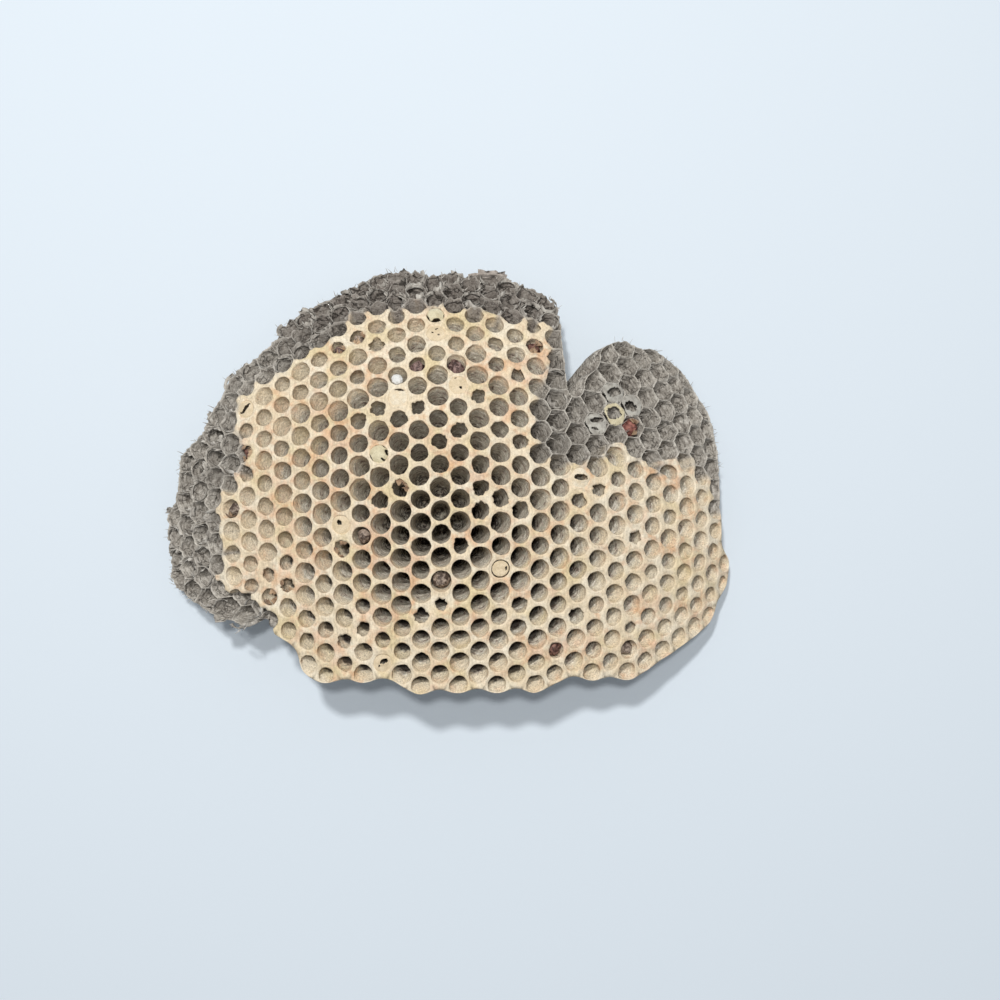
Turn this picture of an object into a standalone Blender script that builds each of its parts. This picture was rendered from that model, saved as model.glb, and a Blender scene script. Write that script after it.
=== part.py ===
"""One comb of a hornet nest: a domed sheet of hexagonal paper cells lying on its back, mouths up,
with silk caps over some of the cells and dried brood in others. Metres, +Z up, with the comb's
upper edge towards +Y. The origin is on the surface the comb lies on, below the middle of its box.
Shapes are worked out about the dome's top and moved to the origin at the end of bend()."""

import math

import bmesh
import bpy
from mathutils import Matrix, Vector
from mathutils.geometry import intersect_point_tri_2d

MM = 0.001

# The lattice of cells, before it is bent over the dome. Columns run up the comb, rows across it.
CELL_PITCH = 7.2 * MM
ROW_STRETCH = 1.012
LATTICE_TURN = math.radians(0.65)
LATTICE_SHIFT = Vector((6.45 * MM, -0.65 * MM))
COLUMN_BEND = -0.365  # metres sideways for each square metre, so columns lean left as they rise
COLUMN_FAN = 0.646
ROW_SAG = -0.504
ROW_CROWD = -0.124
MOST_COLUMNS = 18
MOST_ROWS = 26

# The dome that the mouths lie on: part of an ellipsoid, steeper at the top than at the bottom.
DOME_HALF_WIDTH = 100 * MM
DOME_HALF_TOP = 88 * MM
DOME_HALF_BOTTOM = 130 * MM
DOME_DEPTH = 45 * MM
DOME_TOP_Z = 38 * MM
DOME_STEPS = 60
STEEPEST = 0.995

# Where the dome's top stands from the middle of the comb's box: a little left and well forward.
DOME_TOP_PLACE = Vector((-1.7 * MM, -14.1 * MM, 0))

# Every cell points away from one focus inside the dome, a little left of its top.
FOCUS = Vector((-3 * MM, -1 * MM, DOME_TOP_Z - 75 * MM))
CELL_DEPTH = 22.5 * MM
COMB_DEPTH = 24 * MM
FLOOR_SCALE = 0.8
FLOOR_CLEARANCE = 1.6 * MM

# The comb's outline about the dome's top, seen from above, in millimetres. It runs clockwise from
# the right-hand side, under the lower edge, up the left and back over the top and its notch.
OUTLINE = (
    (91, 0), (92, -9), (94, -17), (91, -26), (86, -34), (79, -42), (70, -49), (58, -52), (30, -52),
    (0, -52), (-30, -52), (-42, -49), (-49, -41), (-58, -35), (-71, -31), (-83, -27), (-90, -23),
    (-92.5, -12), (-92, -2), (-87, 4), (-86, 18), (-83, 25), (-77, 32), (-74, 39), (-68, 46),
    (-62, 53), (-54, 60), (-47, 68), (-35, 76), (-22, 82), (0, 81), (15, 81), (28, 76), (35, 71),
    (39, 60), (40, 47), (39, 34), (37, 29), (41, 27), (44, 40), (48, 48), (57, 57), (66, 57),
    (76, 53), (84, 43), (89, 35), (92, 28), (91, 12),
)

# Cells with something in them, as (column, row): column 0 is near the middle, rows count downwards.
CAPPED = (
    (-3, -4), (0, -6), (-4, -1), (-1, -8), (-1, -9), (2, 1), (-11, 0),
    (6, -5), (-4, 8), (-6, 3), (7, -8), (8, -10), (9, -10), (8, -9),
)
BROOD = (
    (-2, -6), (0, -7), (4, -10), (-5, 3), (-1, 3), (5, 3),
    (9, 1), (9, -9), (-5, -6), (-6, -5), (-11, 2), (-12, 5),
)
TUFT_CELL = (-3, -5)

CAP_RADIUS = 3.1 * MM
CAP_HEIGHT = 1.1 * MM
CAP_BELOW_RIM = 0.9 * MM
CAP_SIDES = 10
CAP_RINGS = 6
BROOD_RADIUS = 2.1 * MM
BROOD_LENGTH = 9 * MM
BROOD_BELOW_RIM = 2.5 * MM
BROOD_SIDES = 7
BROOD_RINGS = 5
TUFT_RADIUS = 1.6 * MM
TUFT_BELOW_RIM = 0.2 * MM
TUFT_FROM_MIDDLE = -1.2 * MM


def clear_scene():
    for obj in list(bpy.data.objects):
        bpy.data.objects.remove(obj, do_unlink=True)


def new_collection(name):
    collection = bpy.data.collections.new(name)
    bpy.context.scene.collection.children.link(collection)
    return collection


def new_material(name, color, roughness):
    material = bpy.data.materials.new(name)
    material.use_nodes = True
    shader = material.node_tree.nodes["Principled BSDF"]
    shader.inputs["Base Color"].default_value = (*color, 1)
    shader.inputs["Roughness"].default_value = roughness
    return material


def finish(bm, name, material, collection, smooth):
    bmesh.ops.recalc_face_normals(bm, faces=bm.faces)
    if bm.calc_volume(signed=True) < 0:
        bmesh.ops.reverse_faces(bm, faces=bm.faces)
    mesh = bpy.data.meshes.new(name)
    bm.to_mesh(mesh)
    bm.free()
    mesh.materials.append(material)
    if smooth:
        mesh.shade_smooth()
    obj = bpy.data.objects.new(name, mesh)
    collection.objects.link(obj)
    return obj


def lattice_point(column, row):
    """The middle of a cell on the flat, unbent lattice."""
    return Vector((
        column * CELL_PITCH * math.sqrt(3) / 2,
        -(row + column / 2) * CELL_PITCH,
        0,
    ))


def spread(flat):
    """A point of the flat lattice moved to where its column and row have grown, still unbent."""
    turned = Matrix.Rotation(LATTICE_TURN, 2) @ Vector((flat.x, flat.y * ROW_STRETCH))
    u, v = turned + LATTICE_SHIFT
    return Vector((u + COLUMN_BEND * v * v + COLUMN_FAN * u * v, v + ROW_SAG * u * u + ROW_CROWD * v * v))


def on_dome(around):
    """The point of the dome that lies as far from its top, along the surface, as around does."""
    reach = around.length
    if reach == 0:
        return Vector((0, 0, DOME_TOP_Z))
    way = around / reach
    half_height = DOME_HALF_TOP if way.y > 0 else DOME_HALF_BOTTOM
    half = 1 / math.hypot(way.x / DOME_HALF_WIDTH, way.y / half_height)
    out = 0.0
    for _ in range(DOME_STEPS):
        share = min(out / half, STEEPEST)
        slope = DOME_DEPTH / half * share / math.sqrt(1 - share * share)
        out += reach / DOME_STEPS / math.hypot(1, slope)
    share = min(out / half, STEEPEST)
    sag = DOME_DEPTH * (1 - math.sqrt(1 - share * share))
    return Vector((way.x * out, way.y * out, DOME_TOP_Z - sag))


def bend(flat):
    """A point of the flat comb, whose height is its place above the mouths, bent over the dome."""
    mouth = on_dome(spread(flat))
    outwards = (mouth - FOCUS).normalized()
    placed = mouth + outwards * flat.z
    placed.z = max(placed.z, 0)
    return placed + DOME_TOP_PLACE


def inside_outline(point):
    """Whether a point is inside the outline, which every point is that an odd number of its fans hold."""
    corners = [Vector(corner) * MM for corner in OUTLINE]
    middle = corners[0]
    fans = zip(corners[1:], corners[2:])
    held = [intersect_point_tri_2d(point, middle, a, b) for a, b in fans]
    return sum(1 for hit in held if hit) % 2 == 1


def cell_places():
    cells = []
    for column in range(-MOST_COLUMNS, MOST_COLUMNS + 1):
        for row in range(-MOST_ROWS, MOST_ROWS + 1):
            place = lattice_point(column, row)
            if spread(place).length < DOME_HALF_BOTTOM and inside_outline(on_dome(spread(place)).xy):
                cells.append(place)
    return cells


def floor_depth(place):
    """How deep a cell goes: its full depth, or less where the comb thins towards what it lies on."""
    mouth = on_dome(spread(place))
    upright = (mouth - FOCUS).normalized().z
    return min(CELL_DEPTH, (mouth.z - FLOOR_CLEARANCE) / upright)


def make_comb(material, collection):
    """A flat sheet of hexagons, thickened, with a pocket sunk in each, then bent over the dome."""
    bm = bmesh.new()
    radius = CELL_PITCH / math.sqrt(3)
    for place in cell_places():
        turn = Matrix.Translation(place) @ Matrix.Rotation(math.radians(30), 4, "Z")
        bmesh.ops.create_circle(bm, cap_ends=True, segments=6, radius=radius, matrix=turn)
    bmesh.ops.remove_doubles(bm, verts=bm.verts, dist=0.01 * MM)
    mouths = list(bm.faces)
    for face in mouths:
        if face.normal.z < 0:
            face.normal_flip()
    back = bmesh.ops.extrude_face_region(bm, geom=mouths, use_keep_orig=True)
    back_points = [item for item in back["geom"] if isinstance(item, bmesh.types.BMVert)]
    bmesh.ops.translate(bm, verts=back_points, vec=(0, 0, -COMB_DEPTH))
    pockets = bmesh.ops.extrude_discrete_faces(bm, faces=mouths)["faces"]
    for floor in pockets:
        middle = floor.calc_center_median()
        depth = floor_depth(middle)
        for point in floor.verts:
            point.co = middle.lerp(point.co, FLOOR_SCALE) - Vector((0, 0, depth))
    for point in bm.verts:
        point.co = bend(point.co)
    bmesh.ops.triangulate(bm, faces=bm.faces)
    return finish(bm, "comb", material, collection, smooth=False)


def place_in_cell(bm, cell):
    """Moves a shape made upright about the origin into a cell's mouth, and slants it as the cell slants."""
    middle = lattice_point(*cell)
    mouth = bend(middle)
    sides = [bend(middle + Vector(step)) - mouth for step in ((MM, 0, 0), (0, MM, 0), (0, 0, MM))]
    slant = Matrix([side / MM for side in sides]).transposed().to_4x4()
    bmesh.ops.transform(bm, matrix=Matrix.Translation(mouth) @ slant, verts=bm.verts)


def make_cap(name, cell, material, collection):
    """A low domed lid, flat below, set in the mouth of its cell."""
    bm = bmesh.new()
    bmesh.ops.create_uvsphere(bm, u_segments=CAP_SIDES, v_segments=CAP_RINGS, radius=CAP_RADIUS)
    parts = list(bm.verts) + list(bm.edges) + list(bm.faces)
    cut = bmesh.ops.bisect_plane(bm, geom=parts, plane_co=(0, 0, 0), plane_no=(0, 0, -1), clear_outer=True)
    rim = [item for item in cut["geom_cut"] if isinstance(item, bmesh.types.BMEdge)]
    bmesh.ops.contextual_create(bm, geom=rim)
    bmesh.ops.scale(bm, verts=bm.verts, vec=(1, 1, (CAP_HEIGHT + CAP_BELOW_RIM) / CAP_RADIUS))
    bmesh.ops.translate(bm, verts=bm.verts, vec=(0, 0, -CAP_BELOW_RIM))
    place_in_cell(bm, cell)
    return finish(bm, name, material, collection, smooth=True)


def make_brood(name, cell, material, collection):
    """A shrunken grub, long and blunt, head towards the mouth of its cell."""
    bm = bmesh.new()
    bmesh.ops.create_uvsphere(bm, u_segments=BROOD_SIDES, v_segments=BROOD_RINGS, radius=BROOD_RADIUS)
    room = floor_depth(lattice_point(*cell)) - BROOD_BELOW_RIM - 1 * MM
    length = min(BROOD_LENGTH, room)
    bmesh.ops.scale(bm, verts=bm.verts, vec=(1, 1, length / 2 / BROOD_RADIUS))
    bmesh.ops.translate(bm, verts=bm.verts, vec=(0, 0, -BROOD_BELOW_RIM - length / 2))
    place_in_cell(bm, cell)
    return finish(bm, name, material, collection, smooth=True)


def make_tuft(material, collection):
    """A small ball of loose silk against the lower wall of an open cell's mouth."""
    bm = bmesh.new()
    bmesh.ops.create_icosphere(bm, subdivisions=1, radius=TUFT_RADIUS)
    bmesh.ops.translate(bm, verts=bm.verts, vec=(0, TUFT_FROM_MIDDLE, -TUFT_BELOW_RIM))
    place_in_cell(bm, TUFT_CELL)
    return finish(bm, "silk_ball", material, collection, smooth=True)


def main():
    clear_scene()
    nest = new_collection("hornet_comb")
    paper = new_material("comb_paper", (0.42, 0.37, 0.28), 0.9)
    silk = new_material("silk", (0.72, 0.62, 0.44), 0.65)
    dried = new_material("dried_brood", (0.12, 0.07, 0.05), 0.6)
    white = new_material("white_silk", (0.85, 0.84, 0.80), 0.8)
    make_comb(paper, nest)
    for number, cell in enumerate(CAPPED, 1):
        make_cap(f"silk_cap_{number:02d}", cell, silk, nest)
    for number, cell in enumerate(BROOD, 1):
        make_brood(f"dried_brood_{number:02d}", cell, dried, nest)
    make_tuft(white, nest)


main()
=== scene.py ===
import math
import random

import bmesh
import bpy
import numpy as np
from mathutils import Matrix, Vector, noise


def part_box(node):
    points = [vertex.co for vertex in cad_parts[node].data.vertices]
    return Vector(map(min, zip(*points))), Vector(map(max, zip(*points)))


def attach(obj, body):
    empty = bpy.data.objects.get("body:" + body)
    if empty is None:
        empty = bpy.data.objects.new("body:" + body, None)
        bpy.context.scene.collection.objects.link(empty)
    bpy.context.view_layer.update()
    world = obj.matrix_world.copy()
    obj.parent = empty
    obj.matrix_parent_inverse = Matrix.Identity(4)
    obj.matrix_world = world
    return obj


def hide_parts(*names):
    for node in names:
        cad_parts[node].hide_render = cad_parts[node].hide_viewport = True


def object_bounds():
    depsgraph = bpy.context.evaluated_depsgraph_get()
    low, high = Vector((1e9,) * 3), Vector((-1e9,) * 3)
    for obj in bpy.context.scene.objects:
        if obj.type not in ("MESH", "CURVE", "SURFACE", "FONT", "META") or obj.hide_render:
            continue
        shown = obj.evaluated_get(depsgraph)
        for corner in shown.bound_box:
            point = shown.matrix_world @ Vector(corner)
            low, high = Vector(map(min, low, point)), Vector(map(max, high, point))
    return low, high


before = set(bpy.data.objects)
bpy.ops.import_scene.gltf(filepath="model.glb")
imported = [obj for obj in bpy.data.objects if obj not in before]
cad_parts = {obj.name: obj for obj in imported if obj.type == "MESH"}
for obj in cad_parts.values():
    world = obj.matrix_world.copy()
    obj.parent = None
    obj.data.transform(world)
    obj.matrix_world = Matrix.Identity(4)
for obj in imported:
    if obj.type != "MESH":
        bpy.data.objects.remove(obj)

MM = 0.001
CAD_LOW, CAD_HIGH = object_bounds()
COMB_LOW, COMB_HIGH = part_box("comb")

# The camera looks straight down on the comb, which lies on its back.
CAMERA_PLACE = (0.0169, -0.0079, 0.468)
CAMERA_LENS = 50
CAMERA_SENSOR = 36

# Each soft light: its name, the way to it from the middle, and its power. All are small and equally far.
LIGHTS = (("key", (-0.14, 0.42, 1), 7.0), ("front", (0.0, 0.17, 1), 4.1))
LIGHT_DISTANCE = 1.2
LIGHT_SIZE = 0.1
LIGHT_COLOUR = (1, 0.99, 0.97)
ROOM_COLOUR = (0.93, 0.96, 1.0, 1)
ROOM_STRENGTH = 0.28
FLOOR_SIZE = 3.0
FLOOR_GAP = 0.2 * MM

# The lattice of cells before it is bent over the dome. Columns run up the comb, rows across it.
CELL_PITCH = 7.2 * MM
HEXAGON_RADIUS = CELL_PITCH / math.sqrt(3)
ROW_STRETCH = 1.012
LATTICE_TURN = math.radians(0.65)
LATTICE_SHIFT = (6.45 * MM, -0.65 * MM)
COLUMN_BEND = -0.365
COLUMN_FAN = 0.646
ROW_SAG = -0.504
ROW_CROWD = -0.124
MOST_COLUMNS = 18
MOST_ROWS = 26

# The dome that the mouths lie on, about its top. Each cell points away from the focus.
DOME_HALF_WIDTH = 100 * MM
DOME_HALF_TOP = 88 * MM
DOME_HALF_BOTTOM = 130 * MM
DOME_DEPTH = 45 * MM
DOME_TOP_Z = COMB_HIGH[2]
DOME_STEPS = 60
STEEPEST = 0.995
DOME_TOP_X = (COMB_LOW[0] + COMB_HIGH[0]) / 2 - 1.7 * MM
DOME_TOP_Y = (COMB_LOW[1] + COMB_HIGH[1]) / 2 - 14.1 * MM
FOCUS = np.array((-3 * MM, -1 * MM, DOME_TOP_Z - 75 * MM))
WARP = 0.35 * MM
WARP_SIZE = 9 * MM

# The comb's outline about the dome's top, seen from above, in millimetres.
OUTLINE = (
    (91, 0), (92, -9), (94, -17), (91, -26), (86, -34), (79, -42), (70, -49), (58, -52), (30, -52),
    (0, -52), (-30, -52), (-42, -49), (-49, -41), (-58, -35), (-71, -31), (-83, -27), (-90, -23),
    (-92.5, -12), (-92, -2), (-87, 4), (-86, 18), (-83, 25), (-77, 32), (-74, 39), (-68, 46),
    (-62, 53), (-54, 60), (-47, 68), (-35, 76), (-22, 82), (0, 81), (15, 81), (28, 76), (35, 71),
    (39, 60), (40, 47), (39, 34), (37, 29), (41, 27), (44, 40), (48, 48), (57, 57), (66, 57),
    (76, 53), (84, 43), (89, 35), (92, 28), (91, 12),
)
# Where the mouths are webbed over with cream silk, in the same millimetres. Outside it the paper is bare.
SILK_OUTLINE = (
    (-30, 66), (-19, 68), (-9, 70), (9, 67), (22, 65), (34, 63), (37, 54), (30, 37), (30, 28),
    (34, 20), (45, 17), (57, 25), (63, 20), (70, 16), (76, 20), (81, 19), (88, 11), (91, 1),
    (96, -14), (96, -34), (80, -56), (38, -60), (-45, -60), (-53, -36), (-56, -29), (-63, -25),
    (-71, -24), (-73, -17), (-70, -11), (-71, -1), (-74, 6), (-69, 11), (-64, 15), (-63, 23),
    (-66, 29), (-67, 35), (-64, 41), (-54, 47), (-43, 53), (-36, 58),
)
SILK_EDGE = 1.0 * MM
SILK_WANDER = 2.2 * MM
# Patches that old meconium and resin have stained orange: middle and radius, in the same millimetres.
STAINED = ((-43, 18, 30), (-48, -6, 24), (21, 45, 16), (-18, -16, 24), (10, 10, 18))
# The torn band along the top, and the calmer lobe at the upper right: where each begins and is full.
TOP_BAND = (52 * MM, 70 * MM)
LOBE = (34 * MM, 44 * MM)

# Each silk cap: its cell, radius, crown, height of its edge, silk, and its holes as x, y, two radii and a
# turn, in millimetres and degrees.
CAPS = (
    ((-3, -4), 3.3, 1.0, -0.4, "pale", ((0.2, 2.6, 1.9, 0.75, -8),)),
    ((0, -6), 3.3, 0.5, -0.35, "cream", ((0.7, -0.9, 0.45, 0.4, 0), (-0.6, 2.4, 0.5, 0.2, 20))),
    ((-4, -1), 3.1, 1.1, -0.4, "yellow", ((2.3, 0.4, 0.3, 0.9, 10), (1.4, -2.0, 0.9, 0.3, -25))),
    (
        (-1, -8), 3.2, 0.4, -0.3, "cream",
        ((0.9, -0.6, 0.4, 0.3, 0), (-1.1, 0.3, 0.3, 0.3, 0), (0.2, 1.6, 0.5, 0.2, 30)),
    ),
    ((-1, -9), 3.1, 1.0, -0.4, "yellow", ((0.0, -2.2, 1.6, 0.5, 5),)),
    ((2, 1), 2.55, 0.25, -0.25, "cream", ((1.7, 0.2, 0.25, 0.7, 0),)),
    ((-11, 0), 3.2, 0.7, -0.4, "cream", ((0.3, 0.1, 0.55, 2.1, -38), (-1.6, -1.2, 0.4, 0.3, 0))),
    ((6, -5), 3.4, 0.9, -0.3, "pale", ((0.1, 0.2, 2.2, 0.95, 4),)),
    ((-4, 8), 3.2, 0.5, -0.35, "cream", ((0.5, 0.7, 1.2, 0.8, 20), (-1.0, -0.8, 0.5, 0.3, 60))),
    ((-6, 3), 3.2, 0.4, -0.35, "cream", ((-0.5, 0.6, 0.6, 0.9, 35),)),
    ((7, -8), 3.8, 0.3, -0.7, "white", ((0.1, 1.2, 2.3, 0.8, 8), (-0.6, -1.6, 1.2, 0.5, -15))),
    ((8, -10), 3.8, 0.3, -0.7, "white", ((0.2, 0.2, 2.3, 1.5, 30),)),
    ((9, -10), 3.8, 0.2, -0.7, "white", ((-0.6, -0.4, 2.1, 1.6, -20),)),
    ((8, -9), 3.8, 0.4, -0.6, "yellow", ((-0.4, 0.2, 2.4, 2.0, 15),)),
)
CAP_CELLS = 26
CAP_THICKNESS = 0.22 * MM
FILM_RAG = 0.4
LARGE_HOLE = 0.7
HOLE_LIP = 0.25
# Each dried pupa: its cell, radius in millimetres, and its skin.
BROOD = (
    ((-2, -6), 2.8, "dark"), ((0, -7), 2.8, "dark"), ((4, -10), 2.7, "red"), ((-5, 3), 2.2, "gray"),
    ((-1, 3), 2.7, "gray"), ((5, 3), 2.8, "red"), ((9, 1), 2.4, "gray"), ((9, -9), 3.1, "rust"),
    ((-5, -6), 1.9, "gray"), ((-6, -5), 2.0, "dark"), ((-11, 2), 2.3, "red"), ((-12, 5), 2.2, "gray"),
)
PUPA_LENGTH = 1.4
PUPA_DROP = 0.4
BALL_CELL = (-3, -5)
BALL_RADIUS = 1.75 * MM
BALL_PLACE = (-0.3 * MM, -1.3 * MM, -0.4 * MM)
# Mouths that are small and torn, and mouths with shreds of silk hanging in them.
TORN = (
    (-5, -2), (-4, -3), (-3, -3), (-2, -4), (-1, -3), (0, -4), (-3, 0), (1, -2), (2, -2), (-6, 4),
    (-1, 4), (-2, 5), (1, -1), (-4, 1), (2, -5), (6, -4), (12, -3), (-9, 7), (-5, -6), (-4, -6),
    (-6, -5), (3, 2), (6, 1), (-6, 8), (-5, 7), (3, -5),
)
TATTERED = (
    (4, -10), (-11, 2), (-12, 5), (-9, 7), (-10, 8), (-3, 0), (-6, 4), (-5, -6), (-6, -5), (9, -9),
)
# The mouths' radii and how jagged they are, in millimetres: for torn ones from least to most.
TORN_SHARE = 0.04
TORN_RADII = (2.15, 2.7)
TORN_JAGS = (0.28, 0.5)
WHOLE_RADIUS = 3.04
WHOLE_SPREAD = 0.2
WHOLE_JAGS = (0.05, 0.2)
CAPPED_RADIUS = 2.9
CAPPED_JAG = 0.05
# Towards the margins, on an ellipse about this middle, mouths shrink and silk lines the cells farther down.
MIDDLE = (5 * MM, 8 * MM)
MIDDLE_REACH = (72 * MM, 70 * MM)
MARGIN_SHRINK = 0.45
LEAST_LINING = 0.8
MOST_LINING = 9.0
LINING_SPREAD = (0.4, 1.4)
# The lining's increase towards the left is painted light: it makes the left side's cells paler.
LEFT_LINING_AND_LIGHT = 5 / (70 * MM)

# A cell's rings, from its shared edge to its floor. Silk cells have a web over a wider cell, bare ones a rim.
SIDE_CUTS = 3
SILK_HEIGHTS = np.array((0, 0.10, -0.08, -0.45, -1.3, -4.5, -11)) * MM
BARE_HEIGHTS = np.array((0, -0.03, -0.28, -0.9, -2.2, -5.5, -11)) * MM
BARE_INSETS = np.array((0, 0.08, 0.15, 0.22, 0.30, 0.36, 0.45)) * MM
BARE_WIDTH = 3.6 * MM
SILK_WALL = 3.3 * MM
WALL_HALF = 0.28 * MM
LAST_WALL_RING = 6
FLOOR_RING = 7
FLOOR_MIDDLE = 8
FLOOR_SHARE = 0.8
FLOOR_DISH = 0.7 * MM
# The sheet's thickness, how deep its cells are, and how near the ground their floors may come.
COMB_DEPTH = 24 * MM
FULL_DEPTH = 20.5 * MM
SHALLOW_DEPTH = 14 * MM
FLOOR_CLEARANCE = 1.6 * MM
# The back has a hump under each cell. The sides have rings of their own, ribbed by the outermost cells.
BACK_RING = -1
BACK_INSET = 0.7 * MM
BACK_HUMP = 1.4 * MM
BACK_RAG = 0.5 * MM
SIDE_RING = -5
SIDE_STEPS = 5
SIDE_RAG = 0.6 * MM
SIDE_RIB = 1.5 * MM
RIB_REACH = (-4.4 * MM, -3.2 * MM)
SMOOTHING_ROUNDS = 30
# The bare margins' ragged rims, rougher along the top and calmer on the lobe.
RAG_DROP = 0.6 * MM
RAG = 0.8 * MM
TOP_RAG = 0.7
LOBE_CALM = 0.55
MOST_RISE = 0.6 * MM
# Lumps on the comb, each layer with its strength, size and seed.
RAGGED = ((1.0, 2.6 * MM, 3), (0.9, 0.9 * MM, 9))
SWOLLEN = ((0.18 * MM, 4 * MM, 1), (0.05 * MM, 1.2 * MM, 2))
SIDE_TORN = ((1.0, 2.0 * MM, 8), (0.6, 0.8 * MM, 11))
# Where the silk's edge stands clear above the bare paper and leaves a dark gap: middle and radius.
LEDGE = (-60 * MM, -28 * MM)
LEDGE_RADIUS = 16 * MM
LEDGE_DROP = 3.6 * MM
# Painted shade: how dark each of a cell's rings is painted beneath the overhanging side of its lip, where its
# shadow falls, and which side that is.
LIP_SHADE_SHARES = (0, 0, 0.1, 0.9, 1, 0.9, 0.5)
LIP_RISE = 0.5
LIP_REACH = 50 * MM
# Painted shade: a leaning cell is painted dark down its wall past this share of its width, where the lip's
# shadow falls. It starts and is full at these heights across the comb, and is weaker at the sides and in the
# bare cells.
SHADE_SHARE = 0.62
SHADE_SOFT = 0.25
SHADE_TOP = 30 * MM
SHADE_FULL = -8 * MM
SIGHT_LEAN = 1.15
MOST_LEAN = 0.85
SIDES = (20 * MM, 55 * MM)
SIDE_EASE = 0.32
BARE_SHADE = 0.35
MOST_SHADE = 2

# Loose fibres and flakes, in millimetres where no unit is given.
FRAYS = 1500
FRAY_REACH = 3.5 * MM
FRAY_ROOT = 1.2 * MM
FRAY_LENGTHS = (0.8, 2.4)
FRAY_LEAN = 1.0
FRAY_RADII = (0.07, 0.2)
SCALES = 200
SCALE_LEVEL = -1.3
LOBE_START = 35 * MM
FLAKE_THICKNESS = 0.16
TATTER_LEVEL = -0.7
# The loose strip: its place on the dome, the radius it is curved to, and each layer's width, level and turn.
STRIP_PLACE = (12 * MM, 79 * MM)
STRIP_BACK = 17 * MM
STRIP_RADIUS = 18.9
STRIP_LAYERS = ((13, -1.0, 0.02), (9, -0.4, -0.04), (6, -1.6, 0.09))


def spread(flat):
    """Bends the flat lattice's rows and columns. What it returns is measured along the dome."""
    cos, sin = math.cos(LATTICE_TURN), math.sin(LATTICE_TURN)
    turned = (flat * (1, ROW_STRETCH)) @ np.array(((cos, sin), (-sin, cos)))
    u, v = (turned + LATTICE_SHIFT).T
    across = u + COLUMN_BEND * v * v + COLUMN_FAN * u * v
    return np.column_stack((across, v + ROW_SAG * u * u + ROW_CROWD * v * v))


def on_dome(around):
    """The points of the dome that lie at these distances along it from its top."""
    reach = np.maximum(np.hypot(around[:, 0], around[:, 1]), 1e-9)
    way = around / reach[:, None]
    half_height = np.where(way[:, 1] > 0, DOME_HALF_TOP, DOME_HALF_BOTTOM)
    half = 1 / np.hypot(way[:, 0] / DOME_HALF_WIDTH, way[:, 1] / half_height)
    out = np.zeros(len(reach))
    for _ in range(DOME_STEPS):
        share = np.minimum(out / half, STEEPEST)
        slope = DOME_DEPTH / half * share / np.sqrt(1 - share * share)
        out += reach / DOME_STEPS / np.hypot(1, slope)
    share = np.minimum(out / half, STEEPEST)
    sag = DOME_DEPTH * (1 - np.sqrt(1 - share * share))
    return np.column_stack((way * out[:, None], DOME_TOP_Z - sag))


def bend(points):
    """Bends points of the flat comb over the dome. Their z is their height above the mouths."""
    level = points * (1, 1, 0)
    warp = np.column_stack((noise_at(level, WARP_SIZE, 21), noise_at(level, WARP_SIZE, 34)))
    mouths = on_dome(spread(points[:, :2] + WARP * warp))
    outwards = mouths - FOCUS
    outwards /= np.linalg.norm(outwards, axis=1)[:, None]
    placed = mouths + outwards * points[:, 2:]
    placed[:, 2] = np.maximum(placed[:, 2], 0)
    return placed + (DOME_TOP_X, DOME_TOP_Y, 0)


def lattice_point(column, row):
    return (column * CELL_PITCH * math.sqrt(3) / 2, -(row + column / 2) * CELL_PITCH)


def depth_inside(points, outline):
    """How far each point is inside the outline, and below zero outside it."""
    corners = np.array(outline) * MM
    ends = np.roll(corners, -1, axis=0)
    along = ends - corners
    offset = points[:, None] - corners
    share = np.clip((offset * along).sum(2) / (along**2).sum(1), 0, 1)
    gap = np.linalg.norm(offset - share[..., None] * along, axis=2).min(1)
    x, y = points[:, :1], points[:, 1:]
    rising = (corners[:, 1] > y) != (ends[:, 1] > y)
    slope = along[:, 0] / np.where(along[:, 1] == 0, 1, along[:, 1])
    left_of = x < corners[:, 0] + (y - corners[:, 1]) * slope
    inside = (rising & left_of).sum(1) % 2 == 1
    return np.where(inside, gap, -gap)


def noise_at(points, size, seed=0.0):
    """Smooth noise from about -1 to 1, with lumps of this size."""
    shift = Vector((seed, seed * 0.7, seed * 1.3))
    return np.array([noise.noise(Vector(point) / size + shift) for point in points])


def lumps(points, layers):
    """Layers of noise added up, each with its strength, size and seed."""
    return sum(strength * noise_at(points, size, seed) for strength, size, seed in layers)


def ease(values, low, high):
    """0 below low, 1 above high, and smooth between them."""
    share = np.clip((values - low) / (high - low), 0, 1)
    return share * share * (3 - 2 * share)


def all_cells():
    """Column and row of each cell whose mouth is inside the comb's outline, and its place on the lattice."""
    columns = range(-MOST_COLUMNS, MOST_COLUMNS + 1)
    rows = range(-MOST_ROWS, MOST_ROWS + 1)
    names = [(column, row) for column in columns for row in rows]
    places = np.array([lattice_point(*name) for name in names])
    kept = depth_inside(on_dome(spread(places))[:, :2], OUTLINE) > 0
    return [name for name, keep in zip(names, kept) if keep], places[kept]


CELL_NAMES, CELL_PLACES = all_cells()


def tint(red, green, blue):
    """A colour from 0 to 255 as the eye sees it, as the shader takes it."""
    straight = [((c / 255 + 0.055) / 1.055) ** 2.4 if c > 10 else c / 3295 for c in (red, green, blue)]
    return (*straight, 1.0)


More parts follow.
